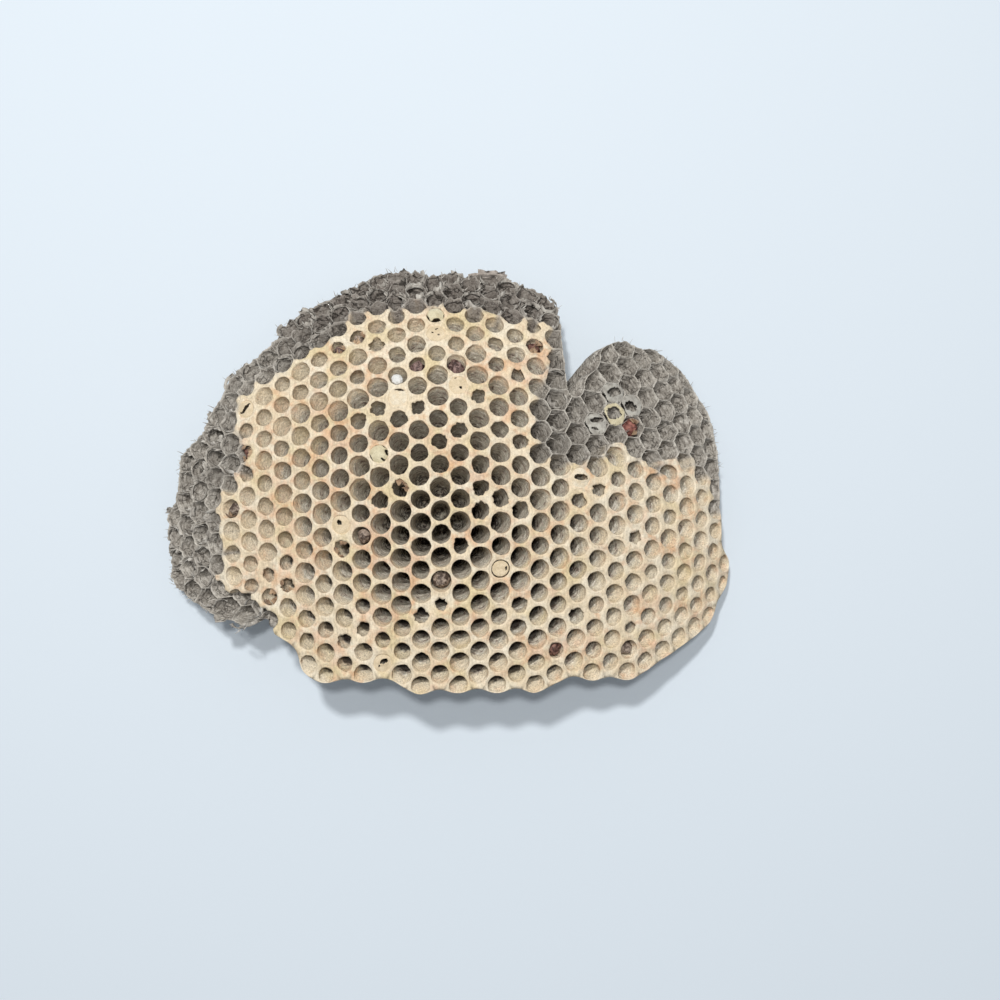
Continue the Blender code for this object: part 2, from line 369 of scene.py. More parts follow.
CREAM = tint(240, 221, 190)
PALE_CREAM = tint(247, 235, 212)
YELLOW_CREAM = tint(234, 215, 174)
LINING_PALE = tint(244, 236, 214)
ORANGE_STAIN = tint(228, 178, 134)
PINK_STAIN = tint(236, 202, 174)
LIP_BROWN = tint(160, 122, 88)
DARK_BROWN = tint(42, 32, 32)
WALL_DARK = tint(128, 114, 104)
WALL_MIDDLE = tint(208, 196, 182)
WALL_LIGHT = tint(243, 236, 224)
WALL_GREEN = tint(196, 192, 175)
GRAY_DARK = tint(126, 120, 113)
GRAY_MIDDLE = tint(180, 174, 165)
GRAY_LIGHT = tint(216, 211, 202)
GRAY_RIM = tint(232, 226, 215)
WEATHER_AND_SHADE_GRAY = tint(128, 118, 112)
CRACK = tint(46, 42, 38)
FLOOR_BLUE = tint(226, 236, 245)
# The stripes that run round each cell, where silk has touched them and where the paper is bare.
WALL_STRIPES = ((0.38, WALL_DARK), (0.46, WALL_MIDDLE), (0.52, WALL_GREEN), (0.60, WALL_LIGHT))
GRAY_STRIPES = ((0.38, GRAY_DARK), (0.49, GRAY_MIDDLE), (0.60, GRAY_LIGHT))
# What fine grit, threads and felted silk multiply a colour by.
GRIT = ((0.34, (0.72, 0.71, 0.70, 1)), (0.62, (1.2, 1.2, 1.2, 1)))
THREADS = ((0.25, (0.82, 0.81, 0.79, 1)), (0.7, (1.1, 1.1, 1.1, 1)))
FELT = ((0.3, (0.8, 0.79, 0.76, 1)), (0.65, (1.08, 1.08, 1.08, 1)))
# The caps' silks and the pupae's skins: each one's name, lighter and darker colour. On the skins the lighter
# colour is a painted highlight on the ridges.
SILKS = {
    "pale": ("pale_silk", PALE_CREAM, CREAM),
    "cream": ("cream_silk", CREAM, tint(224, 204, 170)),
    "yellow": ("yellow_silk", tint(232, 222, 190), tint(208, 196, 162)),
    "white": ("white_silk_film", tint(204, 201, 192), tint(158, 153, 145)),
}
SKINS = {
    "dark": ("dark_brood", tint(158, 132, 126), tint(62, 44, 42)),
    "red": ("red_brood", tint(160, 120, 106), tint(70, 44, 38)),
    "rust": ("rust_brood", tint(168, 112, 100), tint(84, 46, 42)),
    "gray": ("gray_brood", tint(190, 172, 156), tint(84, 70, 62)),
}
BALL_SILK = ("ball_silk", tint(250, 250, 248), tint(228, 228, 224))
STRIP_SILK = ("pale_strip", tint(214, 204, 195), tint(156, 146, 138))
BROWN_SILK = ("brown_silk", tint(200, 170, 138), tint(122, 92, 70))


class Paint:
    """A material's node tree, with one method for each kind of node."""

    def __init__(self, name, roughness=0.9):
        self.material = bpy.data.materials.new(name)
        self.material.use_nodes = True
        self.tree = self.material.node_tree
        self.shader = self.tree.nodes["Principled BSDF"]
        self.shader.inputs["Roughness"].default_value = roughness
        self.shader.inputs["Specular IOR Level"].default_value = 0.25
        self.place = self.node("ShaderNodeTexCoord").outputs["Object"]

    def node(self, kind, inputs=(), **settings):
        made = self.tree.nodes.new(kind)
        for name, value in settings.items():
            setattr(made, name, value)
        for name, value in dict(inputs).items():
            self.feed(made.inputs[name], value)
        return made

    def feed(self, socket, value):
        if isinstance(value, bpy.types.NodeSocket):
            self.tree.links.new(value, socket)
        else:
            socket.default_value = value

    def attribute(self, name):
        return self.node("ShaderNodeAttribute", attribute_name=name).outputs["Fac"]

    def noise(self, scale, detail=3.0, vector=None, distortion=0.0):
        inputs = {"Scale": scale, "Detail": detail, "Vector": vector or self.place, "Distortion": distortion}
        return self.node("ShaderNodeTexNoise", inputs).outputs["Fac"]

    def math(self, operation, *values):
        return self.node("ShaderNodeMath", dict(enumerate(values)), operation=operation).outputs[0]

    def times(self, first, second):
        return self.math("MULTIPLY", first, second)

    def plus(self, first, second):
        return self.math("ADD", first, second)

    def between(self, value, low, high, to_low=0.0, to_high=1.0):
        """A smooth step, from to_low where the value is low to to_high where it is high."""
        inputs = {"Value": value, "From Min": low, "From Max": high, "To Min": to_low, "To Max": to_high}
        return self.node("ShaderNodeMapRange", inputs, interpolation_type="SMOOTHSTEP").outputs[0]

    def lines(self, pattern, wide, narrow):
        """Thin lines along the middle of a pattern of noise."""
        away = self.math("ABSOLUTE", self.math("SUBTRACT", pattern, 0.5))
        return self.between(away, wide, narrow)

    def mix(self, share, first, second, blend_type="MIX"):
        made = self.node("ShaderNodeMix", data_type="RGBA", blend_type=blend_type)
        for socket, value in ((made.inputs[0], share), (made.inputs[6], first), (made.inputs[7], second)):
            self.feed(socket, value)
        return made.outputs[2]

    def steps(self, value, stops):
        """A colour ramp with these stops, each a place from 0 to 1 and a colour."""
        made = self.node("ShaderNodeValToRGB", {"Fac": value})
        elements = made.color_ramp.elements
        while len(elements) < len(stops):
            elements.new(0.5)
        for element, (place, colour) in zip(elements, stops):
            element.position = place
            element.color = colour
        return made.outputs["Color"]

    def stretched(self, scale, turn=(0, 0, 0)):
        inputs = {"Vector": self.place, "Scale": scale, "Rotation": turn}
        return self.node("ShaderNodeMapping", inputs).outputs["Vector"]

    def finish(self, colour, height=None, bump=0.1 * MM, strength=0.8):
        self.feed(self.shader.inputs["Base Color"], colour)
        if height is not None:
            inputs = {"Height": height, "Distance": bump, "Strength": strength}
            self.feed(self.shader.inputs["Normal"], self.node("ShaderNodeBump", inputs).outputs["Normal"])
        return self.material


class CombPaint(Paint):
    """The comb's paper: striped walls, cream silk over the mouths, and bare gray paper at the margins."""

    def __init__(self):
        super().__init__("comb_paper")
        self.depth = self.attribute("depth")
        self.tone = self.attribute("tone")
        self.lining = self.attribute("lining")
        self.outer = self.attribute("outer")
        self.bands = self.cell_bands()
        self.fibres = self.noise(1600.0, 3.0, self.stretched((1, 0.25, 1), (0, 0, 0.6)))
        self.grain = self.noise(900.0, 4.0)
        self.blotches = self.noise(160.0, 3.0)

    def cell_bands(self):
        """Uneven stripes round each cell's wall, shifted from cell to cell, and mottled."""
        split = self.node("ShaderNodeSeparateXYZ", {"Vector": self.place})
        across = self.times(split.outputs["X"], 320.0)
        along = self.times(split.outputs["Y"], 320.0)
        deep = self.math("MULTIPLY_ADD", self.depth, 1.7, self.times(self.tone, 40.0))
        banded = self.node("ShaderNodeCombineXYZ", {"X": across, "Y": along, "Z": deep}).outputs["Vector"]
        mottle = self.noise(640.0, 5.0, distortion=0.6)
        return self.math("MULTIPLY_ADD", self.noise(1.0, 5.0, banded, 0.4), 0.52, self.times(mottle, 0.48))

    def web(self):
        """Cream silk felted over the mouths, in three shades and stained in patches."""
        web = self.mix(self.between(self.blotches, 0.35, 0.7), CREAM, PALE_CREAM)
        web = self.mix(self.between(self.noise(90.0, 2.0), 0.5, 0.72), web, YELLOW_CREAM)
        stained = self.mix(self.between(self.noise(140.0), 0.35, 0.65), ORANGE_STAIN, PINK_STAIN)
        patchy = self.between(self.noise(380.0, 3.0), 0.25, 0.75, -0.5, 0.4)
        share = self.between(self.plus(self.attribute("stain"), patchy), 0.1, 1.1, 0.0, 0.75)
        return self.mix(share, web, stained)

    def silk_cells(self):
        """The web, its brown lips, and the walls: silk as far down as the lining goes, then striped paper."""
        web = self.web()
        wall = self.steps(self.bands, WALL_STRIPES)
        edge = self.plus(self.depth, self.between(self.grain, 0.2, 0.8, -0.9, 0.9))
        past = self.math("SUBTRACT", edge, self.lining)
        pale = self.mix(0.8, wall, LINING_PALE)
        lined = self.mix(self.between(self.depth, 0.8, 3.0, 0.0, 0.5), web, pale)
        middle = self.mix(self.between(past, -1.0, 1.5), lined, wall)
        lip = self.times(self.between(self.depth, 0.12, 0.4), self.between(self.depth, 1.7, 0.8))
        lip = self.times(lip, self.between(self.noise(330.0, 2.0), 0.35, 0.65, 0.1, 0.8))
        lip = self.times(lip, self.between(self.outer, 0.0, 1.0, 1.0, 0.15))
        middle = self.mix(lip, middle, LIP_BROWN)
        webbed = self.times(self.outer, self.between(self.depth, 4.5, 1.5, 0.0, 0.7))
        return self.mix(webbed, middle, web)

    def bare_paper(self):
        """Striped gray paper with pale rims and fine cracks, darker and split where it is weathered, and with
        painted shade darkening and splitting the sides between their ribs.
        """
        gray = self.steps(self.bands, GRAY_STRIPES)
        gray = self.mix(self.between(self.blotches, 0.3, 0.75, 0.0, 0.3), gray, GRAY_DARK)
        rim = self.times(self.between(self.depth, 0.6, 0.05), self.between(self.grain, 0.3, 0.6, 0.0, 0.6))
        gray = self.mix(rim, gray, GRAY_RIM)
        cracks = self.lines(self.noise(210.0, 4.0), 0.022, 0.004)
        cracks = self.times(cracks, self.between(self.depth, 0.3, 1.0))
        gray = self.mix(self.times(cracks, 0.75), gray, CRACK)
        gray = self.mix(self.between(self.tone, 0.0, 1.0, 0.0, 0.2), gray, GRAY_DARK)
        # Weathered paper, and painted shade with dark splits in the gaps between the side ribs.
        weather_and_rib_shade = self.attribute("weather_and_rib_shade")
        gray = self.mix(self.times(weather_and_rib_shade, 0.5), gray, WEATHER_AND_SHADE_GRAY)
        layers = self.noise(130.0, 5.0, self.stretched((0.7, 1.5, 1)))
        splits = self.times(self.lines(layers, 0.03, 0.006), weather_and_rib_shade)
        return self.mix(self.times(splits, 0.85), gray, CRACK)

    def darkened(self, colour):
        """The colour with painted shade, dark brown beneath the lips and down the leaning walls, and with
        dark specks on deep floors.
        """
        # Painted shade beneath the overhanging side of each lip.
        lip_shade = self.times(self.attribute("lip_shade"), self.between(self.grain, 0.2, 0.6, 0.7, 0.92))
        colour = self.mix(lip_shade, colour, DARK_BROWN)
        # Painted shade down the leaning walls, where the lips' shadows fall.
        shade = self.plus(self.attribute("shade"), self.between(self.grain, 0.2, 0.8, -0.12, 0.12))
        shade = self.between(shade, SHADE_SHARE, SHADE_SHARE + SHADE_SOFT, 0.0, 0.8)
        colour = self.mix(shade, colour, DARK_BROWN)
        speckle = self.between(self.noise(900.0, 4.0), 0.44, 0.56)
        low = self.times(self.between(self.depth, 6.0, 15.0), self.attribute("inside"))
        low = self.times(low, self.between(self.lining, 2.0, 6.0, 1.0, 0.1))
        return self.mix(self.times(low, self.times(speckle, 0.85)), colour, DARK_BROWN)

    def fibrous(self, colour):
        """The colour with fine grit down the cells, and threads of pulp all over."""
        grit = self.steps(self.noise(2000.0, 4.0), GRIT)
        gritty = self.mix(1.0, colour, grit, "MULTIPLY")
        colour = self.mix(self.between(self.depth, 0.1, 1.2, 0.35, 0.85), colour, gritty)
        return self.mix(1.0, colour, self.steps(self.fibres, THREADS), "MULTIPLY")

    def paper(self):
        colour = self.mix(self.attribute("cream"), self.bare_paper(), self.silk_cells())
        colour = self.fibrous(self.darkened(colour))
        height = self.plus(self.times(self.bands, 0.9), self.times(self.fibres, 0.5))
        height = self.plus(height, self.times(self.grain, 0.8))
        return self.finish(colour, height, 0.36 * MM, 1.0)


def silk_paint(name, light, dark):
    """Felted silk: fine threads laid every way, with darker and lighter patches."""
    paint = Paint(name, 0.75)
    threads = paint.noise(2200.0, 4.0, distortion=1.5)
    patches = paint.noise(420.0, 4.0)
    colour = paint.mix(paint.between(patches, 0.3, 0.7), light, dark)
    colour = paint.mix(1.0, colour, paint.steps(threads, FELT), "MULTIPLY")
    paint.shader.inputs["Sheen Weight"].default_value = 0.3
    return paint.finish(colour, paint.plus(threads, patches), 0.2 * MM, 0.7)


def brood_paint(name, light, dark):
    """Dried skin: dark and creased, with a painted highlight on its ridges."""
    paint = Paint(name, 0.55)
    creases = paint.noise(900.0, 5.0, distortion=0.8)
    ridges = paint.plus(creases, paint.times(paint.noise(350.0, 3.0), 0.5))
    # Painted highlight: the lighter colour on the ridges.
    colour = paint.mix(paint.between(ridges, 0.6, 0.95), dark, light)
    return paint.finish(colour, creases, 0.3 * MM, 0.9)


def gray_paint():
    """Bare weathered paper of the flakes and fibres."""
    paint = Paint("gray_paper")
    bands = paint.noise(500.0, 4.0, paint.stretched((1, 0.35, 2.5), (0.3, 0, 0.5)))
    grain = paint.noise(1500.0, 3.0)
    colour = paint.steps(bands, ((0.3, GRAY_DARK), (0.5, GRAY_MIDDLE), (0.68, GRAY_LIGHT)))
    return paint.finish(colour, paint.plus(bands, grain), 0.2 * MM, 0.8)


def new_piece(name, bm, material, node=None, smooth=True):
    """The bmesh as a finished piece, which rides on the comb and stands for this node if one is named."""
    bmesh.ops.triangulate(bm, faces=bm.faces[:])
    bmesh.ops.recalc_face_normals(bm, faces=bm.faces[:])
    if bm.calc_volume(signed=True) < 0:
        bmesh.ops.reverse_faces(bm, faces=bm.faces[:])
    mesh = bpy.data.meshes.new(name)
    bm.to_mesh(mesh)
    bm.free()
    if smooth:
        mesh.shade_smooth()
    mesh.materials.append(material)
    piece = bpy.data.objects.new(name, mesh)
    bpy.context.scene.collection.objects.link(piece)
    if node:
        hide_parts(node)
    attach(piece, "root")
    return piece


def open_edges(vert):
    return [edge for edge in vert.link_edges if len(edge.link_faces) == 1]


def nearest_cell(place):
    return int(np.hypot(*(CELL_PLACES - (place.x, place.y)).T).argmin())


def smooth_outline(bm):
    """Rounds off the notches between the outermost cells."""
    border = [vert for vert in bm.verts if open_edges(vert)]
    near = [[edge.other_vert(vert) for edge in open_edges(vert)] for vert in border]
    for _ in range(SMOOTHING_ROUNDS):
        moved = [(pair[0].co + pair[1].co) * 0.25 + vert.co * 0.5 for vert, pair in zip(border, near)]
        for vert, place in zip(border, moved):
            vert.co = place


def add_hexagons(bm):
    """The flat comb's front: hexagons that share their sides, each marked with its cell. It returns them."""
    flat, cell = bm.verts.layers.float_vector["flat"], bm.verts.layers.int["cell"]
    number = bm.faces.layers.int["cell"]
    turn = Matrix.Rotation(math.radians(30), 4, "Z")
    for x, y in CELL_PLACES:
        place = Matrix.Translation((x, y, 0)) @ turn
        bmesh.ops.create_circle(bm, cap_ends=True, segments=6, radius=HEXAGON_RADIUS, matrix=place)
    bmesh.ops.remove_doubles(bm, verts=bm.verts[:], dist=0.05 * MM)
    bmesh.ops.subdivide_edges(bm, edges=bm.edges[:], cuts=SIDE_CUTS)
    fronts = list(bm.faces)
    for face in fronts:
        face[number] = nearest_cell(face.calc_center_median())
    smooth_outline(bm)
    for vert in bm.verts:
        vert[flat] = vert.co
        vert[cell] = vert.link_faces[0][number]
    return fronts


def add_back(bm, fronts):
    """Thickens the fronts to a sheet, with rings round its sides and a hump on its back under each cell."""
    ring, flat = bm.verts.layers.int["ring"], bm.verts.layers.float_vector["flat"]
    cell = bm.verts.layers.int["cell"]
    made = bmesh.ops.extrude_face_region(bm, geom=fronts, use_keep_orig=True)
    back_verts = [item for item in made["geom"] if isinstance(item, bmesh.types.BMVert)]
    for vert in back_verts:
        vert[ring] = BACK_RING
    bmesh.ops.translate(bm, verts=back_verts, vec=(0, 0, -COMB_DEPTH))
    spare = [vert for vert in back_verts if len(vert.link_edges) == 2]
    bmesh.ops.dissolve_verts(bm, verts=spare)
    sides = [edge for edge in bm.edges if edge.verts[0][ring] != edge.verts[1][ring]]
    made = bmesh.ops.subdivide_edges(bm, edges=sides, cuts=SIDE_STEPS, use_grid_fill=True)
    for item in made["geom_inner"]:
        if isinstance(item, bmesh.types.BMVert):
            item[ring] = SIDE_RING
            item[flat] = item.co
            item[cell] = nearest_cell(item.co)
    backs = [face for face in bm.faces if all(vert[ring] == BACK_RING for vert in face.verts)]
    bmesh.ops.inset_individual(bm, faces=backs, thickness=BACK_INSET, depth=0)
    for vert in {vert for face in backs for vert in face.verts}:
        vert[ring] = BACK_RING - 1
        vert[flat] = vert.co
    for vert in bmesh.ops.poke(bm, faces=backs)["verts"]:
        vert[ring] = BACK_RING - 2
        vert[flat] = vert.co


def add_cell_rings(bm, fronts):
    """Draws rings down each front face, one for each step from its shared edge to its floor."""
    ring, cell = bm.verts.layers.int["ring"], bm.verts.layers.int["cell"]
    number = bm.faces.layers.int["cell"]
    for step in range(1, FLOOR_RING + 1):
        fronts = bmesh.ops.extrude_discrete_faces(bm, faces=fronts)["faces"]
        for face in fronts:
            for vert in face.verts:
                vert[ring] = step
                vert[cell] = face[number]
    for vert in bmesh.ops.poke(bm, faces=fronts)["verts"]:
        vert[ring] = FLOOR_MIDDLE
        vert[cell] = vert.link_faces[0][number]


def comb_topology():
    """The flat comb, each point marked with its ring, its cell and its place on the flat sheet."""
    bm = bmesh.new()
    bm.verts.layers.int.new("ring")
    bm.verts.layers.int.new("cell")
    bm.verts.layers.float_vector.new("flat")
    bm.faces.layers.int.new("cell")
    fronts = add_hexagons(bm)
    add_back(bm, fronts)
    add_cell_rings(bm, fronts)
    return bm


def layer_values(bm, name, kind):
    layer = getattr(bm.verts.layers, kind)[name]
    return np.array([vert[layer] for vert in bm.verts])


def mouth_sizes(draw):
    """Each cell's mouth radius, how jagged it is, and how far down its silk lining reaches in millimetres."""
    radius, jag, lining = [], [], []
    capped = [cap[0] for cap in CAPS]
    places = on_dome(spread(CELL_PLACES))[:, :2]
    for name, (x, y) in zip(CELL_NAMES, places):
        torn = draw.random() < TORN_SHARE or name in TORN
        radius.append(draw.uniform(*TORN_RADII) if torn else draw.gauss(WHOLE_RADIUS, WHOLE_SPREAD))
        jag.append(draw.uniform(*TORN_JAGS) if torn else draw.uniform(*WHOLE_JAGS))
        across, along = (x - MIDDLE[0]) / MIDDLE_REACH[0], (y - MIDDLE[1]) / MIDDLE_REACH[1]
        aside = min(1, math.hypot(across, along))
        radius[-1] -= MARGIN_SHRINK * max(0, aside - 0.55)
        # Deeper lining towards the left: painted light that makes the left side lighter.
        most = MOST_LINING - LEFT_LINING_AND_LIGHT * x
        lining.append(LEAST_LINING + most * aside**2 * draw.uniform(*LINING_SPREAD))
        if name in capped:
            radius[-1], jag[-1] = CAPPED_RADIUS, CAPPED_JAG
    return np.array(radius) * MM, np.array(jag) * MM, np.array(lining)


class CombPoints:
    """The comb's points as arrays: the ring and cell that each is on, where it goes, and its paint."""

    def __init__(self, bm):
        self.ring = layer_values(bm, "ring", "int")
        self.cell = layer_values(bm, "cell", "int")
        self.flat = layer_values(bm, "flat", "float_vector")[:, :2]
        self.start = np.array([vert.co.z for vert in bm.verts])
        draw = random.Random(7)
        self.radii, self.jags, self.linings = mouth_sizes(draw)
        self.tones = np.array([draw.random() for _ in CELL_PLACES])
        self.centre = CELL_PLACES[self.cell]
        arm = self.flat - self.centre
        self.reach = np.maximum(np.hypot(arm[:, 0], arm[:, 1]), 1e-9)
        self.way = arm / self.reach[:, None]
        self.mouths = on_dome(spread(self.centre))
        outwards = self.mouths - FOCUS
        self.upright = outwards[:, 2] / np.linalg.norm(outwards, axis=1)
        self.rings = np.clip(self.ring, 0, LAST_WALL_RING)
        self.behind = self.ring <= BACK_RING
        self.beside = self.ring == SIDE_RING
        self.rib = ease(-self.reach, *RIB_REACH)
        self.find_regions()
        self.top = self.rim_heights()
        self.level = self.levels()
        self.depth = np.maximum(0, self.top - self.level)

    def find_regions(self):
        """Where the silk is, how ragged the paper is, and what is in the torn top band or on the lobe."""
        self.sheet = np.column_stack((self.flat, np.zeros(len(self.flat))))
        self.on_top = on_dome(spread(self.flat))[:, :2]
        edge = depth_inside(self.on_top, SILK_OUTLINE)
        self.cream = ease(edge + SILK_WANDER * noise_at(self.sheet, 5 * MM, 5), -SILK_EDGE, SILK_EDGE)
        self.ragged = lumps(self.sheet, RAGGED)
        self.in_band = ease(self.on_top[:, 1], *TOP_BAND)
        self.in_lobe = ease(self.on_top[:, 0], *LOBE)

    def rim_heights(self):
        """How high the comb's front stands at each point: swollen silk, or ragged paper a little lower."""
        from_ledge = np.hypot(self.on_top[:, 0] - LEDGE[0], self.on_top[:, 1] - LEDGE[1])
        drop = RAG_DROP + LEDGE_DROP * ease(-from_ledge, -LEDGE_RADIUS, -0.4 * LEDGE_RADIUS)
        rag = RAG * (1 + TOP_RAG * self.in_band - LOBE_CALM * self.in_lobe * (1 - self.in_band))
        bare = rag * self.ragged - drop
        return np.minimum(self.cream * lumps(self.sheet, SWOLLEN) + (1 - self.cream) * bare, MOST_RISE)

    def mouth_reach(self):
        """How far out the jagged edge of each point's mouth is, on the point's side of it."""
        round_mouth = np.column_stack((self.way * 1.6, self.tones[self.cell] * 50))
        fine = 0.9 * noise_at(round_mouth * (2.8, 2.8, 1), 1.0, 6)
        wobble = noise_at(round_mouth, 1.0, 4) + fine
        mouth = self.radii[self.cell] + self.jags[self.cell] * wobble * 1.6
        return np.minimum(mouth, self.reach - 0.2 * MM)

    def reaches(self):
        """How far each point is from its cell's middle, in a webbed mouth or a bare one."""
        reach, mouth = self.reach, self.mouth_reach()
        wall = np.minimum(reach - WALL_HALF, SILK_WALL)
        half = 0.5 * (reach + mouth)
        silk = np.choose(self.rings, (reach, half, mouth, mouth + 0.05 * MM, wall, wall, wall * 0.97))
        bare = reach * (1 - BARE_INSETS[self.rings] / BARE_WIDTH)
        out = self.cream * silk + (1 - self.cream) * bare
        out = np.where(self.ring == FLOOR_RING, wall * FLOOR_SHARE, out)
        return np.where(self.ring == FLOOR_MIDDLE, 0, out)

    def levels(self):
        """How high each point is above the mouths, down to the cells' floors and the sheet's back."""
        height = self.cream * SILK_HEIGHTS[self.rings] + (1 - self.cream) * BARE_HEIGHTS[self.rings]
        full = np.minimum(FULL_DEPTH, (self.mouths[:, 2] - FLOOR_CLEARANCE) / self.upright)
        squeeze = np.minimum(1, full / SHALLOW_DEPTH)
        level = self.top + np.where(self.ring > 3, height * squeeze, height)
        level = np.where(self.ring == FLOOR_RING, -full, level)
        level = np.where(self.ring == FLOOR_MIDDLE, -full - FLOOR_DISH, level)
        level = np.where(self.behind, -COMB_DEPTH + BACK_RAG * self.ragged, level)
        level = np.where(self.ring == BACK_RING - 1, -COMB_DEPTH - BACK_HUMP * 0.7, level)
        level = np.where(self.ring == BACK_RING - 2, -COMB_DEPTH - BACK_HUMP, level)
        return np.where(self.beside, self.start, level)

    def places(self):
        """Where each point goes: torn, ribbed sides, the back as it was, and the rings round their cells."""
        torn = lumps(np.column_stack((self.flat, self.start)), SIDE_TORN)
        swing = self.way * (SIDE_RAG * torn + SIDE_RIB * self.rib)[:, None]
        flat = np.where(self.beside[:, None], self.flat + swing, self.flat)
        place = np.where(self.behind[:, None], flat, self.centre + self.way * self.reaches()[:, None])
        place = np.where((self.ring == 0)[:, None], flat, place)
        return bend(np.column_stack((place, self.level)))

    def stain(self):
        stain = 0.25 + 0.8 * noise_at(self.sheet, 11 * MM, 40) + 0.5 * noise_at(self.sheet, 4 * MM, 41)
        for x, y, size in STAINED:
            away = np.hypot(self.on_top[:, 0] - x * MM, self.on_top[:, 1] - y * MM)
            stain += 0.35 * ease(size * MM - away, 0, size * MM)
        return np.clip(stain, 0, 1.2)

    def weather_and_rib_shade(self):
        """How weathered the paper is along the top and in patches, and on the sides how dark the painted
        shade between their ribs is.
        """
        weather_and_rib_shade = self.in_band * (1 - self.in_lobe) + 0.25 * noise_at(self.sheet, 9 * MM, 44)
        # On the sides this is painted shade between the ribs.
        return np.where(self.beside, 0.8 * (1 - self.rib), np.clip(weather_and_rib_shade, 0, 1))

    def shade(self):
        """How far down its leaning wall each point is, as a share of the mouth's width, for the painted shade
        there.
        """
        lean = np.minimum(MOST_LEAN, np.sqrt(1 / self.upright**2 - 1) * SIGHT_LEAN)
        rising = ease(-self.mouths[:, 1], -SHADE_TOP, -SHADE_FULL)
        lean *= rising * (BARE_SHADE + (1 - BARE_SHADE) * self.cream)
        lean *= 1 - SIDE_EASE * ease(np.abs(self.mouths[:, 0]), *SIDES)
        share = np.where(self.ring >= 2, self.depth * lean / (2 * self.radii[self.cell]), 0)
        return np.minimum(share, MOST_SHADE)

    def paint_values(self):
        """What the comb's paint reads at each point."""
        lip_way = (0, LIP_RISE) - self.mouths[:, :2] / LIP_REACH
        towards_lip = (self.way * lip_way).sum(1)
        return {
            "depth": self.depth / MM,
            "inside": (self.ring >= 2).astype(float),
            "cream": np.where(self.behind, 0, self.cream),
            "tone": self.tones[self.cell],
            # Painted shade beneath the lips and down the leaning walls.
            "lip_shade": ease(towards_lip, 0.4, 1.0) * np.choose(self.rings, LIP_SHADE_SHARES),
            "outer": ease(-towards_lip, 0.2, 1.2),
            "shade": self.shade(),
            "lining": self.linings[self.cell],
            "stain": self.stain(),
            "weather_and_rib_shade": self.weather_and_rib_shade(),
        }


def comb_piece(material):
    """The whole grown sheet as one closed piece, with the values that its paint reads."""
    bm = comb_topology()
    points = CombPoints(bm)
    for vert, place in zip(bm.verts, points.places()):
        vert.co = place
    piece = new_piece("comb_paper", bm, material, "comb")
    for name, numbers in points.paint_values().items():
        layer = piece.data.attributes.new(name, "FLOAT", "POINT")
        layer.data.foreach_set("value", np.asarray(numbers, np.float32))


def cell_frame(cell):
    """The place and slant of a cell's mouth: x and y along the comb, z out of the cell."""
    middle = np.array((*lattice_point(*cell), 0.0))
    corners = bend(middle + np.vstack((np.zeros(3), np.eye(3) * MM)))
    slant = Matrix(((corners[1:] - corners[0]) / MM).tolist()).transposed().to_4x4()
    return Matrix.Translation(corners[0]) @ slant


def hole_distance(place, hole):
    """How far this place in a cap is from a hole's middle, where 1 is the hole's edge."""
    x, y, wide, tall, turn = hole
    local = Matrix.Rotation(math.radians(-turn), 2) @ Vector((place.x / MM - x, place.y / MM - y))
    return math.hypot(local.x / wide, local.y / tall)


def in_hole(place, hole):
    """Whether this place in a cap is inside the ragged hole."""
    return hole_distance(place, hole) < 1 + 0.3 * noise.noise(place / (0.6 * MM))


def hole_lip(place, holes):
    """How much the silk turns up here, next to a large hole."""
    large = [hole for hole in holes if min(hole[2:4]) > LARGE_HOLE]
    return max([0, *(1 - abs(hole_distance(place, hole) - 1.3) / 0.5 for hole in large)])


def cut_lid(bm, radius, ragged, holes):
    """Cuts a square grid to a round lid, with its holes out of it and its edges smoothed."""
    torn = []
    for face in bm.faces:
        middle = face.calc_center_median()
        reach = radius * MM * (1 - ragged * abs(noise.noise(middle.normalized() * 0.8)))
        if middle.length > reach or any(in_hole(middle, hole) for hole in holes):
            torn.append(face)
    bmesh.ops.delete(bm, geom=torn, context="FACES")
    pinched = [vert for vert in bm.verts if len(open_edges(vert)) > 2]
    bmesh.ops.delete(bm, geom=pinched, context="VERTS")
    edges = [vert for vert in bm.verts if open_edges(vert)]
    bmesh.ops.smooth_vert(bm, verts=edges, factor=0.5, use_axis_x=True, use_axis_y=True)


def silk_lid(number, cap, material):
    """A thin domed lid of felted silk, torn through where its holes are."""
    cell, radius, crown, edge, silk, holes = cap
    bm = bmesh.new()
    bmesh.ops.create_grid(bm, x_segments=CAP_CELLS, y_segments=CAP_CELLS, size=radius * MM)
    cut_lid(bm, radius, FILM_RAG if silk in ("white", "yellow") else 0, holes)
    seed = Vector((cell[0] * 3.1, cell[1] * 1.7, 0))
    for vert in bm.verts:
        out = min(1, vert.co.xy.length / (radius * MM))
        coarse = 0.25 * noise.noise(vert.co / (1.5 * MM) + seed)
        rumple = coarse + 0.12 * noise.noise(vert.co / (0.6 * MM) + seed)
        lip = HOLE_LIP * hole_lip(vert.co, holes)
        vert.co.z = (edge + crown * (1 - out**2.4) + rumple * (1 - 0.6 * out) + lip) * MM
    bmesh.ops.solidify(bm, geom=bm.faces[:], thickness=CAP_THICKNESS)
    bmesh.ops.transform(bm, matrix=cell_frame(cell), verts=bm.verts)
    new_piece(f"silk_lid_{number:02d}", bm, material, f"silk_cap_{number:02d}")


